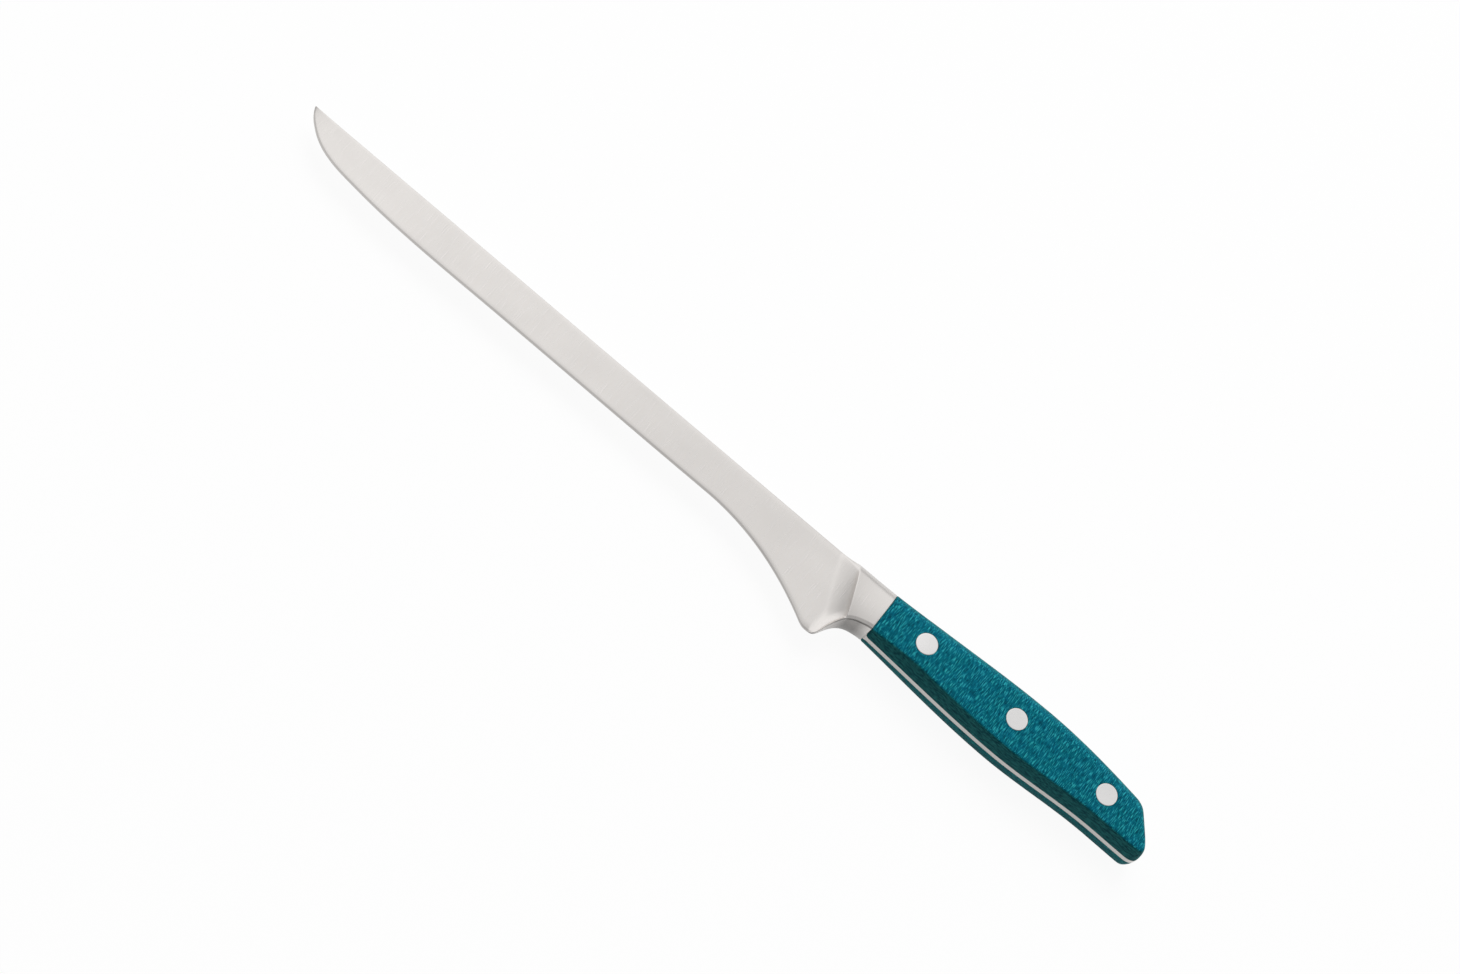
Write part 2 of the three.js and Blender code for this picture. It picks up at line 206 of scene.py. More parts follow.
tip = (tip_x, spine_at(tip_x))
heel = (heel_x, heel_y)
top_at = curve_through([
    (*tip, -TIP_RISE / BLADE_LENGTH),
    (-BOLSTER_LENGTH, SPINE_HEIGHT, -TIP_RISE / BLADE_LENGTH),
    (0, FRONT_TOP, 0),
    (HUMP_DISTANCE, HUMP_TOP, 0),
    (cut_x, BUTT_TOP, BUTT_SLOPE),
])
bottom_at = curve_through([
    *stretched(TIP_SHAPE, tip, (sweep_end, edge_at(sweep_end))),
    *stretched(HEEL_SHAPE, (sweep_start, edge_at(sweep_start)), heel),
    *stretched(GUARD_SHAPE, heel, (0, FRONT_BELLY))[1:-1],
    (0, FRONT_BELLY, FRONT_SLOPE),
    (PALM_DISTANCE, PALM_BELLY, 0),
    (HANDLE_LENGTH - WAIST_TO_BUTT, WAIST_BELLY, 0),
    (corner_x, BUTT_BELLY, 0),
])


def handle_half(x):
    widened = eased(x, TAPER_START, TAPER_END)
    return (BOLSTER_THICKNESS + (HANDLE_THICKNESS - BOLSTER_THICKNESS) * widened) / 2


def joint_ease(x):
    """How much is rounded off on both sides of the joint between bolster and scale."""
    from_joint = max(abs(x - BUTT_JOINT / 2) - BUTT_JOINT / 2, 0)
    near = clamped(1 - from_joint / JOINT_ROUND)
    return JOINT_ROUND * (1 - math.sqrt(1 - JOINT_SHARE * near * near))


def side_half(x, y):
    """Half the thickness of bolster and handle, whose sides are slightly crowned at the front."""
    across = (y - (FRONT_TOP + FRONT_BELLY) / 2) / (FRONT_TOP - FRONT_BELLY) * 2
    crown = SIDE_CROWN * across * across * (1 - eased(x, SIDE_CROWN_FADE, TAPER_END))
    return handle_half(x) - crown - joint_ease(x)


def blade_half(x, y):
    """Half the thickness of the flat-ground blade. Behind the heel the grind runs on level."""
    edge = bottom_at(x) if x < heel_x else heel_y
    spine = spine_at(x)
    along = (x - tip_x) / BLADE_LENGTH
    spine_half = (TIP_THICKNESS + (SPINE_THICKNESS - TIP_THICKNESS) * along) / 2
    share = clamped((y - edge) / (spine - edge)) if spine > edge else 0
    face = FACE_THICKNESS / 2 + (spine_half - FACE_THICKNESS / 2) * share
    sharpened = clamped((y - edge) / BEVEL_WIDTH)
    return EDGE_THICKNESS / 2 + (face - EDGE_THICKNESS / 2) * sharpened


def half_at(x, y):
    """Half the thickness anywhere: blade, hollow fillet, rounded ridge, bolster and handle. Towards
    the finger guard's edge the steel flares out, and the fillet runs into that flare."""
    ahead = (-BOLSTER_LENGTH - math.tan(RIDGE_LEAN) * y - x) * math.cos(RIDGE_LEAN)
    side = side_half(x, y)
    if ahead < -2 * RIDGE_ROUND:
        return side
    rise = side - blade_half(x, y)
    radius = max(FILLET_RADIUS, rise)
    reach = math.sqrt(radius * radius - (radius - rise) ** 2)
    hollow = clamped(reach - ahead, 0, reach)
    fillet = radius - math.sqrt(radius * radius - hollow * hollow)
    above_guard = y - bottom_at(x) if x > heel_x else FLARE_WIDTH
    from_guard = clamped(above_guard / FLARE_WIDTH)
    flare = FLARE_RISE * eased(x, FLARE_START, FLARE_END) * (1 - from_guard) ** FLARE_CURVE
    joined = (fillet ** FLARE_BLEND + flare ** FLARE_BLEND) ** (1 / FLARE_BLEND)
    if ahead < 0:
        joined += -ahead * reach / max(radius - rise, RIDGE_STEEPEST * radius)
    # The lower of fillet and side counts, with a round where they cross.
    mix = clamped(0.5 + 0.5 * (rise - joined) / RIDGE_ROUND)
    return side + (joined - rise) * mix - RIDGE_ROUND * mix * (1 - mix)


def lean_at(x):
    """Sections lean with the ridge at heel and bolster, and stand square to the knife elsewhere."""
    if x < -BOLSTER_LENGTH:
        share = clamped((x - sweep_start) / (full_lean_x - sweep_start))
    else:
        share = clamped(-x / BOLSTER_LENGTH)
    return share * math.tan(RIDGE_LEAN)


HALVINGS = 50


def meet(outline, x):
    """Where the section through x on the rivet line meets an outline."""
    lean = lean_at(x)
    if lean == 0:
        return x, outline(x)
    low, high = x - HEEL_DEPTH, x + HEEL_DEPTH
    for _ in range(HALVINGS):
        middle = (low + high) / 2
        if middle + lean * outline(middle) < x:
            low = middle
        else:
            high = middle
    return low, outline(low)


def bow(start, pull, end, steps):
    """A rounded corner from start to end that leaves along the line to pull."""
    t = np.linspace(0, 1, steps + 1)[1:, None]
    p, q, r = (np.array(point, float) for point in (start, pull, end))
    return (1 - t) ** 2 * p + 2 * t * (1 - t) * q + t * t * r


TIP_STEPS = 60
BACK_STEPS = 24
CUT_STEPS = 12
END_STEPS = 20
RIDGE_BAND = 1


def knife_outlines():
    """Facing points of the top and bottom outlines, close together where the form turns, and how
    much the section between each pair leans."""
    ridge = -BOLSTER_LENGTH
    # Each stretch runs on to a place, in so many steps.
    stretches = (
        (sweep_start, 16),
        (full_lean_x, 40),
        (ridge - RIDGE_BAND, 90),
        (ridge + RIDGE_BAND, 40),
        (-JOINT_ROUND, 36),
        (0, 5),
        (BUTT_JOINT, 1),
        (BUTT_JOINT + JOINT_ROUND, 5),
        (TAPER_END, 40),
        (shoulder_x, 72),
    )
    places = [*(tip_x + np.linspace(0, 1, TIP_STEPS + 1) ** 2 * TIP_SWEEP)]
    for stretch_end, steps in stretches:
        places.extend(np.linspace(places[-1], stretch_end, steps + 1)[1:])
    shoulder = np.array((shoulder_x, top_at(shoulder_x)))
    cut = np.array((cut_x, BUTT_TOP))
    knee = np.array((HANDLE_LENGTH - BUTT_KNEE_TO_END, BUTT_KNEE))
    end = np.array((HANDLE_LENGTH, BUTT_END))
    below_cut = cut + (knee - cut) * BUTT_ROUND / np.linalg.norm(knee - cut)
    knee_pull = knee + (knee - cut) * BUTT_KNEE_TO_END / (knee[0] - cut_x)
    corner = np.array((corner_x, BUTT_BELLY))
    corner_pull = np.array((HANDLE_LENGTH, BUTT_BELLY))
    top = [meet(top_at, x) for x in places]
    top += [*bow(shoulder, cut, below_cut, BACK_STEPS)]
    top += [*np.linspace(below_cut, knee, CUT_STEPS + 1)[1:]]
    top += [*bow(knee, knee_pull, end, END_STEPS)]
    bottom = [meet(bottom_at, x) for x in places]
    belly_places = np.linspace(shoulder_x, corner_x, BACK_STEPS + CUT_STEPS + 1)[1:]
    bottom += [(x, bottom_at(x)) for x in belly_places]
    bottom += [*bow(corner, corner_pull, end, END_STEPS)]
    leans = np.zeros(len(top))
    leans[:len(places)] = [lean_at(x) for x in places]
    return np.array(top), np.array(bottom), leans


def inwards(points, side, leans):
    """Directions into the material along an outline: square to it, but along the section where that
    leans, and straight backwards or forwards at the tip and at the butt, which both outlines share."""
    along = np.gradient(points, axis=0)
    along /= np.linalg.norm(along, axis=1)[:, None]
    square = np.stack([-along[:, 1] * side, along[:, 0] * side], axis=1)
    slant = np.stack([-leans * side, np.full(len(leans), side)], axis=1)
    slant /= np.sum(slant * square, axis=1)[:, None]
    inward = square + (slant - square) * (leans / math.tan(RIDGE_LEAN))[:, None]
    inward[0], inward[-1] = (1, 0), (-1, 0)
    return inward


def crown_at(x):
    return FRONT_CROWN + (REAR_CROWN - FRONT_CROWN) * eased(x, 0, PALM_DISTANCE)


def back_round(x, half):
    """Radius along both edges of the back, which sharpen towards the tip and the butt's end."""
    radius = BACK_RADIUS + (EDGE_RADIUS - BACK_RADIUS) * eased(x, shoulder_x, HANDLE_LENGTH)
    share = EDGE_SHARE + (BACK_SHARE - EDGE_SHARE) * eased(x, tip_x, tip_x + TIP_EASE)
    return min(radius, share * half)


CORNER_STEPS = 9
CROWN_STEPS = 14


def wall(half, rounding, x):
    """The back or belly of one section: a crown between two rounded corners, as pairs of inset
    from the outline and height above the middle plane."""
    flat = half - rounding
    turns = np.linspace(0, math.pi / 2, CORNER_STEPS + 1)
    heights = flat + rounding * np.sin(turns)
    double = 2 * crown_at(x)
    corner = np.stack([heights ** 2 / double + rounding * (1 - np.cos(turns)), heights], 1)
    across = np.linspace(-flat, flat, CROWN_STEPS + 1)[1:-1]
    crown = np.stack([across ** 2 / double, across], 1)
    points = np.concatenate([corner[::-1] * (1, -1), crown, corner])
    points[:, 0] += joint_ease(x) if half > SPINE_THICKNESS else 0
    return points


BEVEL_ROWS = (0.9, 1.1)
BEVEL_LIMIT = 0.4
SIDE_STEPS = 13
TINY = 1e-6


def section(bottom, bottom_in, top, top_in):
    """One closed section of the blank: belly, left side, back, right side. Two close rows of points
    on each side hold the line where the sharpened bevel starts."""
    low_half = half_at(*bottom)
    belly_wall = wall(low_half, min(EDGE_RADIUS, EDGE_SHARE * low_half), bottom[0])
    high_half = half_at(*top)
    depth = wall(high_half, back_round(top[0], high_half), top[0])[-1, 0]
    depth *= eased(top[0], tip_x, tip_x + TIP_EASE)
    high_half = half_at(*(top + top_in * depth))
    back_wall = wall(high_half, back_round(top[0], high_half), top[0])
    belly = np.column_stack([bottom + belly_wall[:, :1] * bottom_in, belly_wall[:, 1]])
    back = np.column_stack([top + back_wall[:, :1] * top_in, back_wall[:, 1]])
    low, high = belly[-1], back[-1]
    width = np.linalg.norm(high[:2] - low[:2])
    line = min(BEVEL_WIDTH / max(width, TINY), BEVEL_LIMIT)
    before, after = (line * row for row in BEVEL_ROWS)
    shares = np.concatenate([[before, after], np.linspace(after, 1, SIDE_STEPS + 1)[1:-1]])
    side = low + (high - low) * shares[:, None]
    if width > TINY:
        side[:, 2] = [half_at(x, y) for x, y in side[:, :2]]
    return np.concatenate([belly, side, back[::-1], side[::-1] * (1, 1, -1)])


def knife_blank():
    """The whole knife as one closed skin over its sections, from the tip to the butt."""
    top, bottom, leans = knife_outlines()
    bottom_in, top_in = inwards(bottom, 1, leans), inwards(top, -1, leans)
    rings = [section(*parts) for parts in zip(bottom, bottom_in, top, top_in)]
    count, around = len(rings), len(rings[0])
    points = np.concatenate(rings) * MM + np.array(datum)
    i, j = np.meshgrid(np.arange(count - 1), np.arange(around), indexing="ij")
    a, b = i * around + j, i * around + (j + 1) % around
    quads = np.stack([a, a + around, b + around, b], axis=-1).reshape(-1, 4)
    mesh = bpy.data.meshes.new("knife_blank")
    mesh.from_pydata(points.tolist(), [], quads.tolist())
    return whole(mesh)


DOUBLED = 2e-7
FLATTENED = 1e-7


def whole(mesh):
    """Merges doubled points, drops what that flattens and turns the faces outwards."""
    shape = bmesh.new()
    shape.from_mesh(mesh)
    bmesh.ops.remove_doubles(shape, verts=shape.verts, dist=DOUBLED)
    bmesh.ops.dissolve_degenerate(shape, edges=shape.edges, dist=FLATTENED)
    bmesh.ops.recalc_face_normals(shape, faces=shape.faces)
    shape.to_mesh(mesh)
    shape.free()
    return mesh


BEYOND = 2 * HANDLE_LENGTH
ROOT_STEPS = 8


def side_room(side, from_x, from_z):
    """A cutter for one side of the handle, behind from_x and beyond from_z, with the round edge
    that fits the hollow at the tang's root."""
    outline = []
    for turn in np.linspace(math.pi, 1.5 * math.pi, ROOT_STEPS + 1):
        outwards, upwards = 1 + math.cos(turn), 1 + math.sin(turn)
        outline.append((from_x + TANG_ROOT * outwards, from_z + TANG_ROOT * upwards))
    outline += [(BEYOND, from_z), (BEYOND, BEYOND), (from_x, BEYOND)]
    count = len(outline)
    points = [datum + Vector((x, y, side * z)) * MM for y in (-BEYOND, BEYOND) for x, z in outline]
    ends = [tuple(range(count)), tuple(range(count, 2 * count))]
    walls = [(i, (i + 1) % count, count + (i + 1) % count, count + i) for i in range(count)]
    mesh = bpy.data.meshes.new("cutter")
    mesh.from_pydata(points, [], ends + walls)
    return whole(mesh)


ROUND_STEPS = 96


def turned(profile):
    """A round closed mesh about Z from (radius, height) pairs that start and end on the axis."""
    shape = bmesh.new()
    verts = [shape.verts.new((radius * MM, 0, height * MM)) for radius, height in profile]
    edges = [shape.edges.new(pair) for pair in zip(verts, verts[1:])]
    bmesh.ops.spin(shape, geom=verts + edges, cent=(0, 0, 0), axis=(0, 0, 1),
                   angle=2 * math.pi, steps=ROUND_STEPS, use_merge=True, use_duplicate=False)
    mesh = bpy.data.meshes.new("turned")
    shape.to_mesh(mesh)
    shape.free()
    return whole(mesh)


def drill(diameter, low, high, x):
    """A cutter for a round hole through the rivet line."""
    mesh = turned([(0, low), (diameter / 2, low), (diameter / 2, high), (0, high)])
    mesh.transform(Matrix.Translation(datum + Vector((x, 0, 0)) * MM))
    return mesh


def set_up(name, data):
    """A new object in the scene."""
    thing = bpy.data.objects.new(name, data)
    bpy.context.scene.collection.objects.link(thing)
    return thing


SHARP_ANGLE = math.radians(28)


def made_plain(piece):
    """Keeps what the modifiers make as the piece's own mesh, smooth between its sharp edges."""
    shaped = piece.evaluated_get(bpy.context.evaluated_depsgraph_get())
    made = bpy.data.meshes.new_from_object(shaped)
    made.name = piece.name
    piece.modifiers.clear()
    piece.data = made
    made.shade_smooth()
    made.set_sharp_from_angle(angle=SHARP_ANGLE)


def carved(name, start, cuts):
    """A new object: the start mesh cut with, or kept inside, each cutter in turn."""
    piece = set_up(name, start.copy())
    tools = []
    for operation, cutter in cuts:
        tool = set_up("cutter", cutter)
        carve = piece.modifiers.new("carve", "BOOLEAN")
        carve.operation = operation
        carve.solver = "MANIFOLD"
        carve.object = tool
        tools.append(tool)
    made_plain(piece)
    for tool in tools:
        bpy.data.objects.remove(tool)
    piece.data.materials.clear()
    return piece


blank = knife_blank()
scale_rooms = [side_room(side, 0, TANG_THICKNESS / 2) for side in (1, -1)]
tang_holes = [drill(TUBE_HOLE, -TANG_THICKNESS, TANG_THICKNESS, x) for x in rivet_places]
tang_cuts = [("DIFFERENCE", cutter) for cutter in scale_rooms + tang_holes]
forging = carved("blade_and_tang", blank, tang_cuts)


def finish_tree(name):
    """A new material with its nodes, its links and its principled shader."""
    material = bpy.data.materials.new(name)
    material.use_nodes = True
    nodes, links = material.node_tree.nodes, material.node_tree.links
    return material, nodes, links, nodes["Principled BSDF"]


def in_millimetres(nodes, links, scale):
    """Object coordinates in millimetres, scaled for one pattern."""
    place = nodes.new("ShaderNodeTexCoord")
    mapping = nodes.new("ShaderNodeMapping")
    mapping.inputs["Scale"].default_value = [s / MM for s in scale]
    links.new(place.outputs["Object"], mapping.inputs["Vector"])
    return mapping.outputs["Vector"]


def noise(nodes, links, vector, detail=2.0, roughness=0.5):
    texture = nodes.new("ShaderNodeTexNoise")
    texture.inputs["Scale"].default_value = 1
    texture.inputs["Detail"].default_value = detail
    texture.inputs["Roughness"].default_value = roughness
    links.new(vector, texture.inputs["Vector"])
    return texture.outputs["Fac"]


def spread(nodes, links, value, low, high, to_low, to_high):
    """A value between low and high, spread over another range."""
    node = nodes.new("ShaderNodeMapRange")
    node.inputs["From Min"].default_value = low
    node.inputs["From Max"].default_value = high
    node.inputs["To Min"].default_value = to_low
    node.inputs["To Max"].default_value = to_high
    links.new(value, node.inputs["Value"])
    return node.outputs["Result"]


def tones(nodes, links, value, stops):
    """A colour ramp with stops of (place, linear colour)."""
    ramp = nodes.new("ShaderNodeValToRGB")
    elements = ramp.color_ramp.elements
    while len(elements) < len(stops):
        elements.new(0.5)
    for element, (place, colour) in zip(elements, stops):
        element.position = place
        element.color = (*colour, 1)
    links.new(value, ramp.inputs["Fac"])
    return ramp.outputs["Color"]


def relief(nodes, links, shader, height, strength, depth):
    """Relief too fine for the mesh, with its depth in millimetres."""
    bump = nodes.new("ShaderNodeBump")
    bump.inputs["Strength"].default_value = strength
    bump.inputs["Distance"].default_value = depth * MM
    links.new(height, bump.inputs["Height"])
    links.new(bump.outputs["Normal"], shader.inputs["Normal"])


# Noise seldom leaves this range.
NOISE_RANGE = (0.3, 0.7)

CLOUD_SCALE = (0.05, 0.09, 0.09)
CLOUD_SHARE = 0.96
GRIND_ROUGHNESS = (0.26, 0.34)
GRIND_STRENGTH = 0.02
GRIND_DEPTH = 0.004


def satin_steel(name, colour, lines):
    """Slightly clouded stainless steel with fine grinding lines, which run along the axis that has
    the fewest of them per millimetre."""
    material, nodes, links, shader = finish_tree(name)
    grinding = noise(nodes, links, in_millimetres(nodes, links, lines), detail=4, roughness=0.6)
    cloudy = noise(nodes, links, in_millimetres(nodes, links, CLOUD_SCALE), detail=3)
    clouded = [c * CLOUD_SHARE for c in colour]
    steel = tones(nodes, links, cloudy, [*zip(NOISE_RANGE, (clouded, colour))])
    links.new(steel, shader.inputs["Base Color"])
    roughness = spread(nodes, links, grinding, *NOISE_RANGE, *GRIND_ROUGHNESS)
    links.new(roughness, shader.inputs["Roughness"])
    relief(nodes, links, shader, grinding, GRIND_STRENGTH, GRIND_DEPTH)
    shader.inputs["Metallic"].default_value = 1
    return material


def paint_shade_into(material, where, share):
    """Painted shade: scales the steel's colour by the share where the value is 1."""
    nodes, links = material.node_tree.nodes, material.node_tree.links
    shader = nodes["Principled BSDF"]
    dulled = nodes.new("ShaderNodeVectorMath")
    dulled.operation = "SCALE"
    links.new(shader.inputs["Base Color"].links[0].from_socket, dulled.inputs[0])
    links.new(spread(nodes, links, where, 0, 1, 1, share), dulled.inputs["Scale"])
    links.new(dulled.outputs["Vector"], shader.inputs["Base Color"])


def behind_ridge(nodes, links):
    """0 ahead of the bolster's slanted ridge, 1 behind it."""
    place = nodes.new("ShaderNodeTexCoord")
    slanted = nodes.new("ShaderNodeVectorMath")
    slanted.operation = "DOT_PRODUCT"
    slanted.inputs[1].default_value = (1, math.tan(RIDGE_LEAN), 0)
    links.new(place.outputs["Object"], slanted.inputs[0])
    ridge = datum.x + math.tan(RIDGE_LEAN) * datum.y - BOLSTER_LENGTH * MM
    return spread(nodes, links, slanted.outputs["Value"], ridge, ridge + 2 * RIDGE_ROUND * MM, 0, 1)


# Painted shade on the finger guard's underside: where its steel faces the edge side, its colour is
# scaled down.
GUARD_FADE = 4.5
GUARD_LEAN = 0.45
GUARD_BLEND = 0.3


def mark_painted_guard_shade(mesh):
    """1 in the hollow of the finger guard, on steel that faces towards the edge side and gets painted
    shade there, fading to 0 at the handle."""
    count = len(mesh.vertices)
    points, normals = np.empty(3 * count), np.empty(3 * count)
    mesh.vertices.foreach_get("co", points)
    mesh.vertices.foreach_get("normal", normals)
    along = (points[0::3] - datum.x) / MM
    below = np.clip((-normals[1::3] - GUARD_LEAN) / GUARD_BLEND, 0, 1)
    fade = np.clip(-along / GUARD_FADE, 0, 1)
    guard = mesh.attributes.new("guard_shade_mask", "FLOAT", "POINT")
    guard.data.foreach_set("value", below * fade * (along > heel_x))


BLADE_COLOUR = (0.81, 0.78, 0.755)
BLADE_LINES = (6, 0.12, 0.12)
# Painted shade: the bolster behind the ridge and the finger guard's underside have their steel colour
# scaled down by these shares.
BOLSTER_PAINTED_SHADE = 0.86
GUARD_PAINTED_SHADE = 0.47

mark_painted_guard_shade(forging.data)
blade_steel = satin_steel("satin_blade_steel", BLADE_COLOUR, BLADE_LINES)
steel_nodes, steel_links = blade_steel.node_tree.nodes, blade_steel.node_tree.links
# Painted shade over the whole bolster behind its ridge.
paint_shade_into(blade_steel, behind_ridge(steel_nodes, steel_links), BOLSTER_PAINTED_SHADE)
# Painted shade: the finger guard's underside is darkened through its mask.
guard_shade_mask = steel_nodes.new("ShaderNodeAttribute")
guard_shade_mask.attribute_name = "guard_shade_mask"
paint_shade_into(blade_steel, guard_shade_mask.outputs["Fac"], GUARD_PAINTED_SHADE)
forging.data.materials.append(blade_steel)
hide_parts("forging")
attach(forging, "root")


# Scales: two slabs of woven cloth pressed in resin, cut from sheet, bedded on the tang and ground
# flush with it and with the bolster. The cloth's layers lie parallel to the blade, so the sides
# show threads and the rounded back and belly show the edges of the layers.
BOND_LINE = 0.05
HEAD_DIAMETER = 8
HEAD_DEPTH = 2
HEAD_HOLE = HEAD_DIAMETER + RIVET_CLEARANCE
HEAD_SEAT = HANDLE_THICKNESS / 2 - HEAD_DEPTH - BOND_LINE

LAYER_THICKNESS = 0.45
LAYER_WAVE = 0.25
WAVE_SCALE = (0.09, 0.09, 0.09)
EDGE_SCALE = (0.5, 0.5, 2.2)
EDGE_RANGE = (0.08, 0.4)
EDGE_TONES = ((0.38, (0.001, 0.070, 0.088)), (0.62, (0.022, 0.190, 0.192)))
# Painted light on the cut edges: the right slab lies nearer the floor, and its edges are painted
# lighter and bluer as the floor's light would make them; the left slab's edges keep their own colour.
LEFT_EDGE_PAINTED_LIGHT = (1, 1, 1)
RIGHT_EDGE_PAINTED_LIGHT = (0.6, 1.35, 1.4)

# Threads per millimetre along the handle, across it and through the layers.
CROSS_THREADS = (3.3, 0.38, 9)
LONG_THREADS = (0.5, 3.3, 9)
LONG_SHIFT = (31, 17, 5)
LONG_RANGE = (0.58, 0.70)
LONG_SHARE = 0.45
LONG_COLOUR = (0.010, 0.225, 0.265)
BLOTCH_SCALE = (0.22, 0.22, 3)
BLOTCH_SHIFT = (7, 3, 1)
BLOTCH_TONES = ((0.35, (0.97, 0.97, 1.02)), (0.65, (1.03, 1.03, 0.98)))
CROSS_TONES = (
    (0.36, (0.0001, 0.058, 0.092)),
    (0.46, (0.0003, 0.104, 0.156)),
    (0.56, (0.0006, 0.132, 0.188)),
    (0.66, (0.026, 0.345, 0.39)),
)
CLOTH_ROUGHNESS = (0.5, 0.64)
CLOTH_STRENGTH = 0.25
CLOTH_RELIEF = 0.02
CLOTH_SHINE = 0.04


def mark_edge_grain(mesh):
    """How squarely the surface cuts through the cloth's layers: 0 on the sides, 1 on the belly."""
    normals = np.empty(3 * len(mesh.vertices))
    mesh.vertices.foreach_get("normal", normals)
    grain = mesh.attributes.new("edge_grain", "FLOAT", "POINT")
    grain.data.foreach_set("value", 1 - np.abs(normals[2::3]))


def given(links, socket, value):
    """Gives a node's input another node's output, or a plain value."""
    if isinstance(value, bpy.types.NodeSocket):
        links.new(value, socket)
    else:
        socket.default_value = value


def maths(nodes, links, operation, *values):
    node = nodes.new("ShaderNodeMath")
    node.operation = operation
    for socket, value in zip(node.inputs, values):
        given(links, socket, value)
    return node.outputs["Value"]


def blended(nodes, links, share, under, over, how="MIX"):
    """One colour laid over another, by a share."""
    node = nodes.new("ShaderNodeMix")
    node.data_type = "RGBA"
    node.blend_type = how
    given(links, node.inputs["Factor"], share)
    given(links, node.inputs["A"], under)
    given(links, node.inputs["B"], over)
    return node.outputs["Result"]


def in_layers(nodes, links):
    """Millimetre coordinates whose height is that of the cloth layer, which waves a little."""
    apart = nodes.new("ShaderNodeSeparateXYZ")
    links.new(in_millimetres(nodes, links, (1, 1, 1)), apart.inputs["Vector"])
    waves = noise(nodes, links, in_millimetres(nodes, links, WAVE_SCALE))
    lift = spread(nodes, links, waves, *NOISE_RANGE, -LAYER_WAVE, LAYER_WAVE)
    lifted = maths(nodes, links, "ADD", apart.outputs["Z"], lift)
    joined = nodes.new("ShaderNodeCombineXYZ")
    links.new(apart.outputs["X"], joined.inputs["X"])
    links.new(apart.outputs["Y"], joined.inputs["Y"])
    links.new(maths(nodes, links, "SNAP", lifted, LAYER_THICKNESS), joined.inputs["Z"])
    return joined.outputs["Vector"]


def threads(nodes, links, layers, scale, shift=(0, 0, 0)):
    """Streaks that differ from layer to layer."""
    mapping = nodes.new("ShaderNodeMapping")
    mapping.inputs["Scale"].default_value = scale
    mapping.inputs["Location"].default_value = shift
    links.new(layers, mapping.inputs["Vector"])
    return noise(nodes, links, mapping.outputs["Vector"], detail=1)


def cloth_laminate(name, edge_painted_light):
    """Resin-bound cloth in thin layers, each with its own threads across and along. The cut edges of
    the layers are scaled by the slab's painted light, which makes the lower slab's edges lighter as if
    the floor lit them."""
    material, nodes, links, shader = finish_tree(name)
    layers = in_layers(nodes, links)
    crossing = threads(nodes, links, layers, CROSS_THREADS)
    running = threads(nodes, links, layers, LONG_THREADS, LONG_SHIFT)
    blotches = threads(nodes, links, layers, BLOTCH_SCALE, BLOTCH_SHIFT)
    weft = tones(nodes, links, crossing, CROSS_TONES)
    blotch = tones(nodes, links, blotches, BLOTCH_TONES)
    dyed = blended(nodes, links, 1, weft, blotch, "MULTIPLY")
    warp = spread(nodes, links, running, *LONG_RANGE, 0, LONG_SHARE)
    cloth = blended(nodes, links, warp, dyed, (*LONG_COLOUR, 1))
    stack = noise(nodes, links, in_millimetres(nodes, links, EDGE_SCALE), roughness=0.6)
    # The edge tones with the slab's painted light.
    edge_tones = [(place, [c * t for c, t in zip(tone, edge_painted_light)]) for place, tone in EDGE_TONES]
    edges = tones(nodes, links, stack, edge_tones)
    cut = nodes.new("ShaderNodeAttribute")
    cut.attribute_name = "edge_grain"
    edge_share = spread(nodes, links, cut.outputs["Fac"], *EDGE_RANGE, 0, 1)
    links.new(blended(nodes, links, edge_share, cloth, edges), shader.inputs["Base Color"])
    roughness = spread(nodes, links, crossing, *NOISE_RANGE, *CLOTH_ROUGHNESS)
    links.new(roughness, shader.inputs["Roughness"])
    relief(nodes, links, shader, crossing, CLOTH_STRENGTH, CLOTH_RELIEF)
    shader.inputs["Specular IOR Level"].default_value = CLOTH_SHINE
    return material


for name, node, side, edge_painted_light in (
    ("left_teal_scale", "left_scale", 1, LEFT_EDGE_PAINTED_LIGHT),
    ("right_teal_scale", "right_scale", -1, RIGHT_EDGE_PAINTED_LIGHT),
):
    slab = side_room(side, BUTT_JOINT, TANG_THICKNESS / 2 + BOND_LINE)
    tubes = [drill(TUBE_HOLE, -HANDLE_THICKNESS, HANDLE_THICKNESS, x) for x in rivet_places]
    head_low, head_high = sorted((side * HEAD_SEAT, side * HANDLE_THICKNESS))
    heads = [drill(HEAD_HOLE, head_low, head_high, x) for x in rivet_places]
    holes = [("DIFFERENCE", cutter) for cutter in tubes + heads]
    piece = carved(name, blank, [("INTERSECT", slab), *holes])
    mark_edge_grain(piece.data)
    piece.data.materials.append(cloth_laminate(name + "_laminate", edge_painted_light))
    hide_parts(node)
    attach(piece, "root")


# Cutlery rivets: three pairs of turned steel halves. The barrel's head sits in the left scale and
# its tube goes through the tang, the post's head sits in the right scale and its post is pressed
# into the tube. Both heads are ground flush with the scales after pressing.
POST_DIAMETER = 3.2
BORE_DIAMETER = POST_DIAMETER + RIVET_CLEARANCE
HEAD_ROUND = 0.15
HEAD_RINGS = 11
RIM_STEPS = 4
END_GAP = 0.5
RIVET_COLOUR = (0.83, 0.82, 0.815)
RIVET_LINES = (0.25, 5, 5)

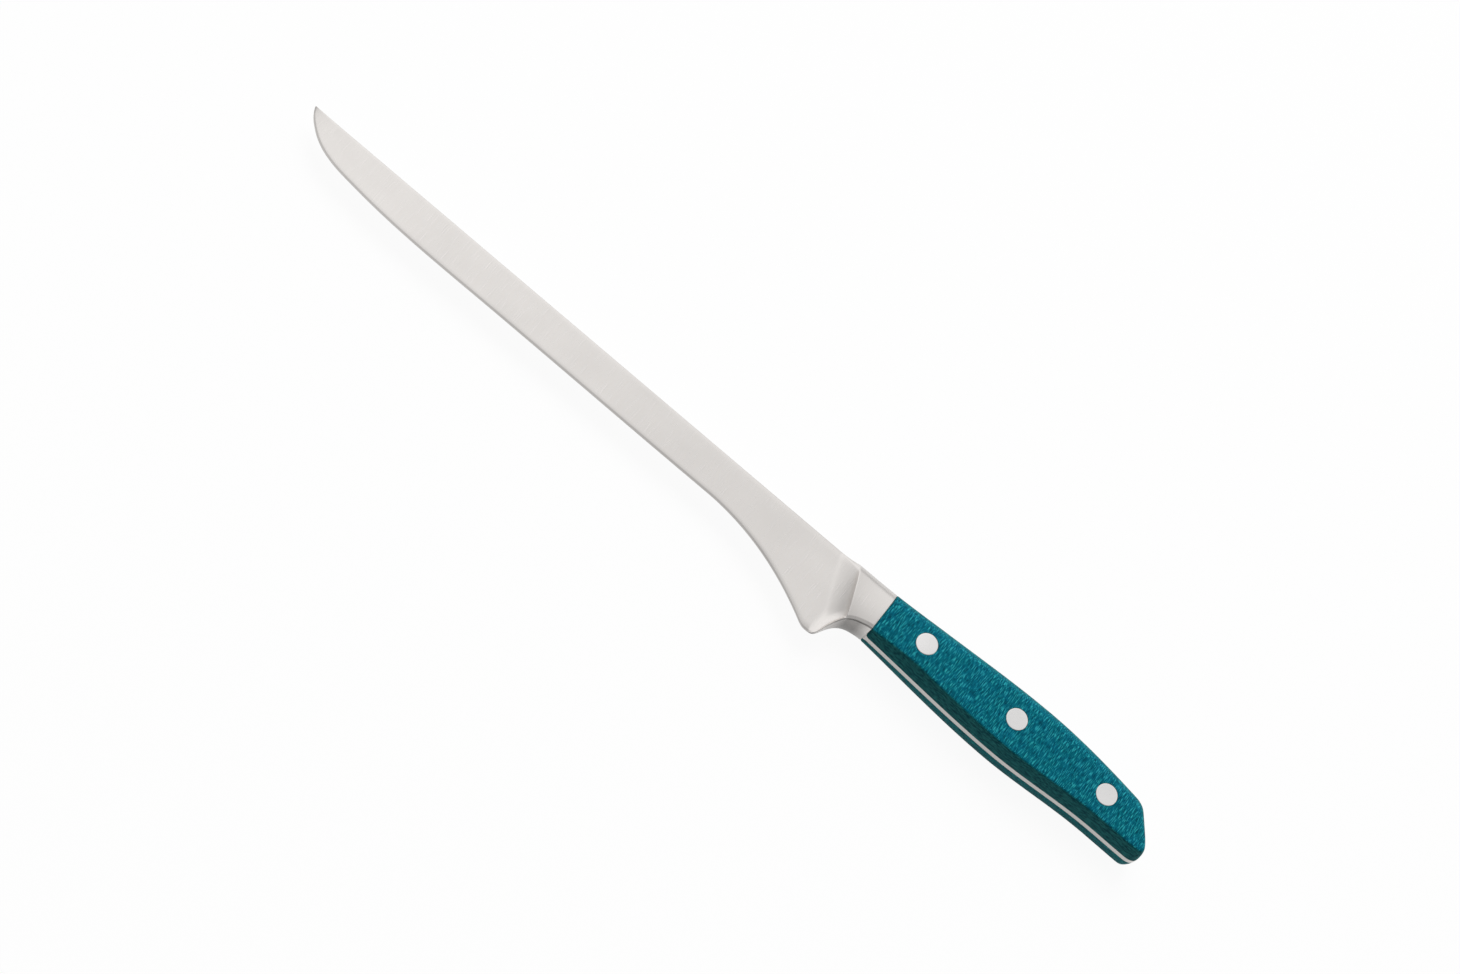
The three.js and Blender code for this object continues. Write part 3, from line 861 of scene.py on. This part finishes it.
head_face = HANDLE_THICKNESS / 2
head_seat = head_face - HEAD_DEPTH
head_rim = HEAD_DIAMETER / 2
head_flat = head_rim - HEAD_ROUND
inner_end = END_GAP - head_seat
tube_radius = TUBE_DIAMETER / 2
bore_radius = BORE_DIAMETER / 2
post_radius = POST_DIAMETER / 2
head_profile = [(radius, head_face) for radius in np.linspace(0, head_flat, HEAD_RINGS + 1)[:-1]]
for quarter in np.linspace(0, math.pi / 2, RIM_STEPS + 1):
    inset, drop = HEAD_ROUND * (1 - math.sin(quarter)), HEAD_ROUND * (1 - math.cos(quarter))
    head_profile.append((head_rim - inset, head_face - drop))
head_profile.append((head_rim, head_seat))
barrel_profile = [
    *head_profile,
    (tube_radius, head_seat),
    (tube_radius, inner_end),
    (bore_radius, inner_end),
    (bore_radius, head_seat),
    (0, head_seat),
]
post_profile = [
    *head_profile,
    (post_radius, head_seat),
    (post_radius, inner_end),
    (0, inner_end),
]


def rivet_row():
    """Geometry nodes: sets a rivet half at even steps along the handle and grinds each head flush
    with the side, which spreads towards the butt."""
    tree = bpy.data.node_groups.new("rivet_row", "GeometryNodeTree")
    tree.interface.new_socket("Geometry", in_out="INPUT", socket_type="NodeSocketGeometry")
    for label, kind in (
        ("Count", "Int"),
        ("First", "Vector"),
        ("Step", "Vector"),
        ("Middle", "Float"),
        ("Seat", "Float"),
        ("Side", "Float"),
        ("Taper Start", "Float"),
        ("Taper End", "Float"),
        ("Front Half", "Float"),
        ("Full Half", "Float"),
        ("Finish", "Material"),
    ):
        tree.interface.new_socket(label, in_out="INPUT", socket_type="NodeSocket" + kind)
    tree.interface.new_socket("Geometry", in_out="OUTPUT", socket_type="NodeSocketGeometry")
    nodes, links = tree.nodes, tree.links
    sizes = nodes.new("NodeGroupInput").outputs

    row = nodes.new("GeometryNodeMeshLine")
    links.new(sizes["Count"], row.inputs["Count"])
    links.new(sizes["First"], row.inputs["Start Location"])
    links.new(sizes["Step"], row.inputs["Offset"])
    placed = nodes.new("GeometryNodeInstanceOnPoints")
    links.new(row.outputs["Mesh"], placed.inputs["Points"])
    links.new(sizes["Geometry"], placed.inputs["Instance"])
    real = nodes.new("GeometryNodeRealizeInstances")
    links.new(placed.outputs["Instances"], real.inputs["Geometry"])

    place = nodes.new("ShaderNodeSeparateXYZ")
    links.new(nodes.new("GeometryNodeInputPosition").outputs["Position"], place.inputs["Vector"])
    side_at = nodes.new("ShaderNodeMapRange")
    side_at.interpolation_type = "SMOOTHSTEP"
    links.new(place.outputs["X"], side_at.inputs["Value"])
    links.new(sizes["Taper Start"], side_at.inputs["From Min"])
    links.new(sizes["Taper End"], side_at.inputs["From Max"])
    links.new(sizes["Front Half"], side_at.inputs["To Min"])
    links.new(sizes["Full Half"], side_at.inputs["To Max"])
    from_middle = maths(nodes, links, "SUBTRACT", place.outputs["Z"], sizes["Middle"])
    height = maths(nodes, links, "MULTIPLY", from_middle, sizes["Side"])
    proud = maths(nodes, links, "SUBTRACT", side_at.outputs["Result"], sizes["Full Half"])
    ground = nodes.new("ShaderNodeCombineXYZ")
    links.new(maths(nodes, links, "MULTIPLY", proud, sizes["Side"]), ground.inputs["Z"])
    flush = nodes.new("GeometryNodeSetPosition")
    links.new(real.outputs["Geometry"], flush.inputs["Geometry"])
    links.new(maths(nodes, links, "GREATER_THAN", height, sizes["Seat"]), flush.inputs["Selection"])
    links.new(ground.outputs["Vector"], flush.inputs["Offset"])
    finish = nodes.new("GeometryNodeSetMaterial")
    links.new(flush.outputs["Geometry"], finish.inputs["Geometry"])
    links.new(sizes["Finish"], finish.inputs["Material"])
    links.new(finish.outputs["Geometry"], nodes.new("NodeGroupOutput").inputs["Geometry"])
    return tree


row_tree = rivet_row()
rivet_steel = satin_steel("satin_rivet_steel", RIVET_COLOUR, RIVET_LINES)
rivet_step = (REAR_RIVET - FRONT_RIVET) / (RIVET_COUNT - 1)
for name, profile, side, half in (
    ("rivet_barrels", barrel_profile, 1, "barrel"),
    ("rivet_posts", post_profile, -1, "post"),
):
    rivets = set_up(name, turned([(radius, side * height) for radius, height in profile]))
    row = rivets.modifiers.new("row", "NODES")
    row.node_group = row_tree
    values = {
        "Count": RIVET_COUNT,
        "First": datum + Vector((FRONT_RIVET, 0, 0)) * MM,
        "Step": Vector((rivet_step, 0, 0)) * MM,
        "Middle": datum.z,
        "Seat": (head_seat + HEAD_DEPTH / 2) * MM,
        "Side": float(side),
        "Taper Start": datum.x + TAPER_START * MM,
        "Taper End": datum.x + TAPER_END * MM,
        "Front Half": BOLSTER_THICKNESS / 2 * MM,
        "Full Half": HANDLE_THICKNESS / 2 * MM,
        "Finish": rivet_steel,
    }
    for socket in row_tree.interface.items_tree:
        if socket.in_out == "INPUT" and socket.name in values:
            row[socket.identifier] = values[socket.name]
    made_plain(rivets)
    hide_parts(*[f"{place}_rivet_{half}" for place in ("front", "middle", "rear")])
    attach(rivets, "root")


# Studio: a white floor that glows a little, as a light table does, a broad bright screen behind and
# above the knife, a dark room in front of it, a softbox that gives the shadow, and the
# photographer's camera above the knife's edge side.
FLOOR_SIZE = 6
FLOOR_WHITE = 0.88
FLOOR_ROUGHNESS = 0.9
FLOOR_GLOW = 0.21
FLOOR_SEEN = 0.94
FLOOR_IN_METAL = 0.33

edge = FLOOR_SIZE / 2
floor_corners = [(-edge, -edge, 0), (edge, -edge, 0), (edge, edge, 0), (-edge, edge, 0)]
floor_mesh = bpy.data.meshes.new("floor")
floor_mesh.from_pydata(floor_corners, [], [(0, 1, 2, 3)])
floor = set_up("floor", floor_mesh)


def seen_share(nodes, links, by_camera, by_metal, by_all=0):
    """How much of the plain white shows to the camera, to metal and glass, and to everything."""
    ray = nodes.new("ShaderNodeLightPath")
    total = by_all
    for output, share in (
        ("Is Camera Ray", by_camera),
        ("Is Glossy Ray", by_metal),
        ("Is Transmission Ray", by_metal),
    ):
        total = maths(nodes, links, "MULTIPLY_ADD", ray.outputs[output], share, total)
    return total


paper, paper_nodes, paper_links, paper_shader = finish_tree("white_paper")
paper_shader.inputs["Base Color"].default_value = (FLOOR_WHITE, FLOOR_WHITE, FLOOR_WHITE, 1)
paper_shader.inputs["Roughness"].default_value = FLOOR_ROUGHNESS
paper_shader.inputs["Specular IOR Level"].default_value = 0
white = paper_nodes.new("ShaderNodeEmission")
white.inputs["Color"].default_value = (1, 1, 1, 1)
shone = seen_share(paper_nodes, paper_links, FLOOR_SEEN - FLOOR_GLOW, FLOOR_IN_METAL, FLOOR_GLOW)
lit_paper = paper_nodes.new("ShaderNodeMixShader")
paper_links.new(shone, lit_paper.inputs["Fac"])
paper_links.new(paper_shader.outputs["BSDF"], lit_paper.inputs[1])
paper_links.new(white.outputs["Emission"], lit_paper.inputs[2])
paper_links.new(lit_paper.outputs["Shader"], paper_nodes["Material Output"].inputs["Surface"])
floor_mesh.materials.append(paper)

# Stops of the room's greys: from the back over the top to the front, and on the walls past both
# ends of the knife from front to back. The strength changes from the tip's end to the butt's.
SCREEN = (
    (0.0, 0.80),
    (0.05, 0.60),
    (0.09, 0.36),
    (0.14, 0.95),
    (0.25, 1.0),
    (0.38, 0.95),
    (0.43, 0.58),
    (0.51, 0.30),
    (0.57, 0.05),
    (1.0, 0.02),
)
WALLS = ((0.45, 0.03), (0.55, 0.74), (0.68, 1.0))
STRENGTH = ((0.30, 1.08), (0.41, 1.18), (0.45, 1.18), (0.53, 0.88), (0.75, 0.88), (0.92, 1.5))
WALL_RANGE = (0.12, 0.7)
WORLD_IN_METAL = 0.25


def greys(nodes, links, value, stops):
    return tones(nodes, links, value, [(place, (grey, grey, grey)) for place, grey in stops])


world = bpy.data.worlds.new("studio")
world.use_nodes = True
bpy.context.scene.world = world
world_nodes, world_links = world.node_tree.nodes, world.node_tree.links
background = world_nodes["Background"]
direction = world_nodes.new("ShaderNodeTexCoord")
towards = world_nodes.new("ShaderNodeSeparateXYZ")
world_links.new(direction.outputs["Generated"], towards.inputs["Vector"])
to_butt, to_back, to_top = (towards.outputs[axis] for axis in "XYZ")
climb = maths(world_nodes, world_links, "ARCTAN2", to_top, to_back)
overhead = spread(world_nodes, world_links, climb, 0, math.pi, 0, 1)
screen = greys(world_nodes, world_links, overhead, SCREEN)
backwards = spread(world_nodes, world_links, to_back, -1, 1, 0, 1)
walls = greys(world_nodes, world_links, backwards, WALLS)
sideways = maths(world_nodes, world_links, "MULTIPLY", to_butt, to_butt)
wall_share = spread(world_nodes, world_links, sideways, *WALL_RANGE, 0, 1)
room = blended(world_nodes, world_links, wall_share, screen, walls)
white_share = seen_share(world_nodes, world_links, 1, WORLD_IN_METAL)
shown = blended(world_nodes, world_links, white_share, room, (1, 1, 1, 1))
world_links.new(shown, background.inputs["Color"])
lengthwise = spread(world_nodes, world_links, to_butt, -1, 1, 0, 1)
world_links.new(greys(world_nodes, world_links, lengthwise, STRENGTH), background.inputs["Strength"])

LAMP_SIZE = 1.6
LAMP_POWER = 42
LAMP_PLACE = Vector((-0.5, 1.35, 2.1))

lamp = bpy.data.lights.new("softbox", "AREA")
lamp.size = LAMP_SIZE
lamp.energy = LAMP_POWER
softbox = set_up("softbox", lamp)
softbox.location = LAMP_PLACE
softbox.rotation_euler = (-LAMP_PLACE).to_track_quat("-Z", "Y").to_euler()
softbox.visible_glossy = False

PHOTO_WIDTH = 1460
FOCAL_PIXELS = 3300
SENSOR_WIDTH = 36
DISTANCE = 1.138
ELEVATION = math.radians(63.3)
ROLL = math.radians(40)
AIM = Vector((-68.3, 1.95, 0))

camera = bpy.data.cameras.new("camera")
camera.sensor_width = SENSOR_WIDTH
camera.lens = SENSOR_WIDTH * FOCAL_PIXELS / PHOTO_WIDTH
eye = set_up("camera", camera)
knife_axis = Vector((1, 0, 0))
backward = Vector((0, -math.cos(ELEVATION), math.sin(ELEVATION)))
right = math.cos(ROLL) * knife_axis + math.sin(ROLL) * backward.cross(knife_axis)
eye_axes = Matrix((right, backward.cross(right), backward)).transposed().to_4x4()
eye.matrix_world = Matrix.Translation(datum + AIM * MM + DISTANCE * backward) @ eye_axes
bpy.context.scene.camera = eye
bpy.context.scene.view_settings.view_transform = "Standard"
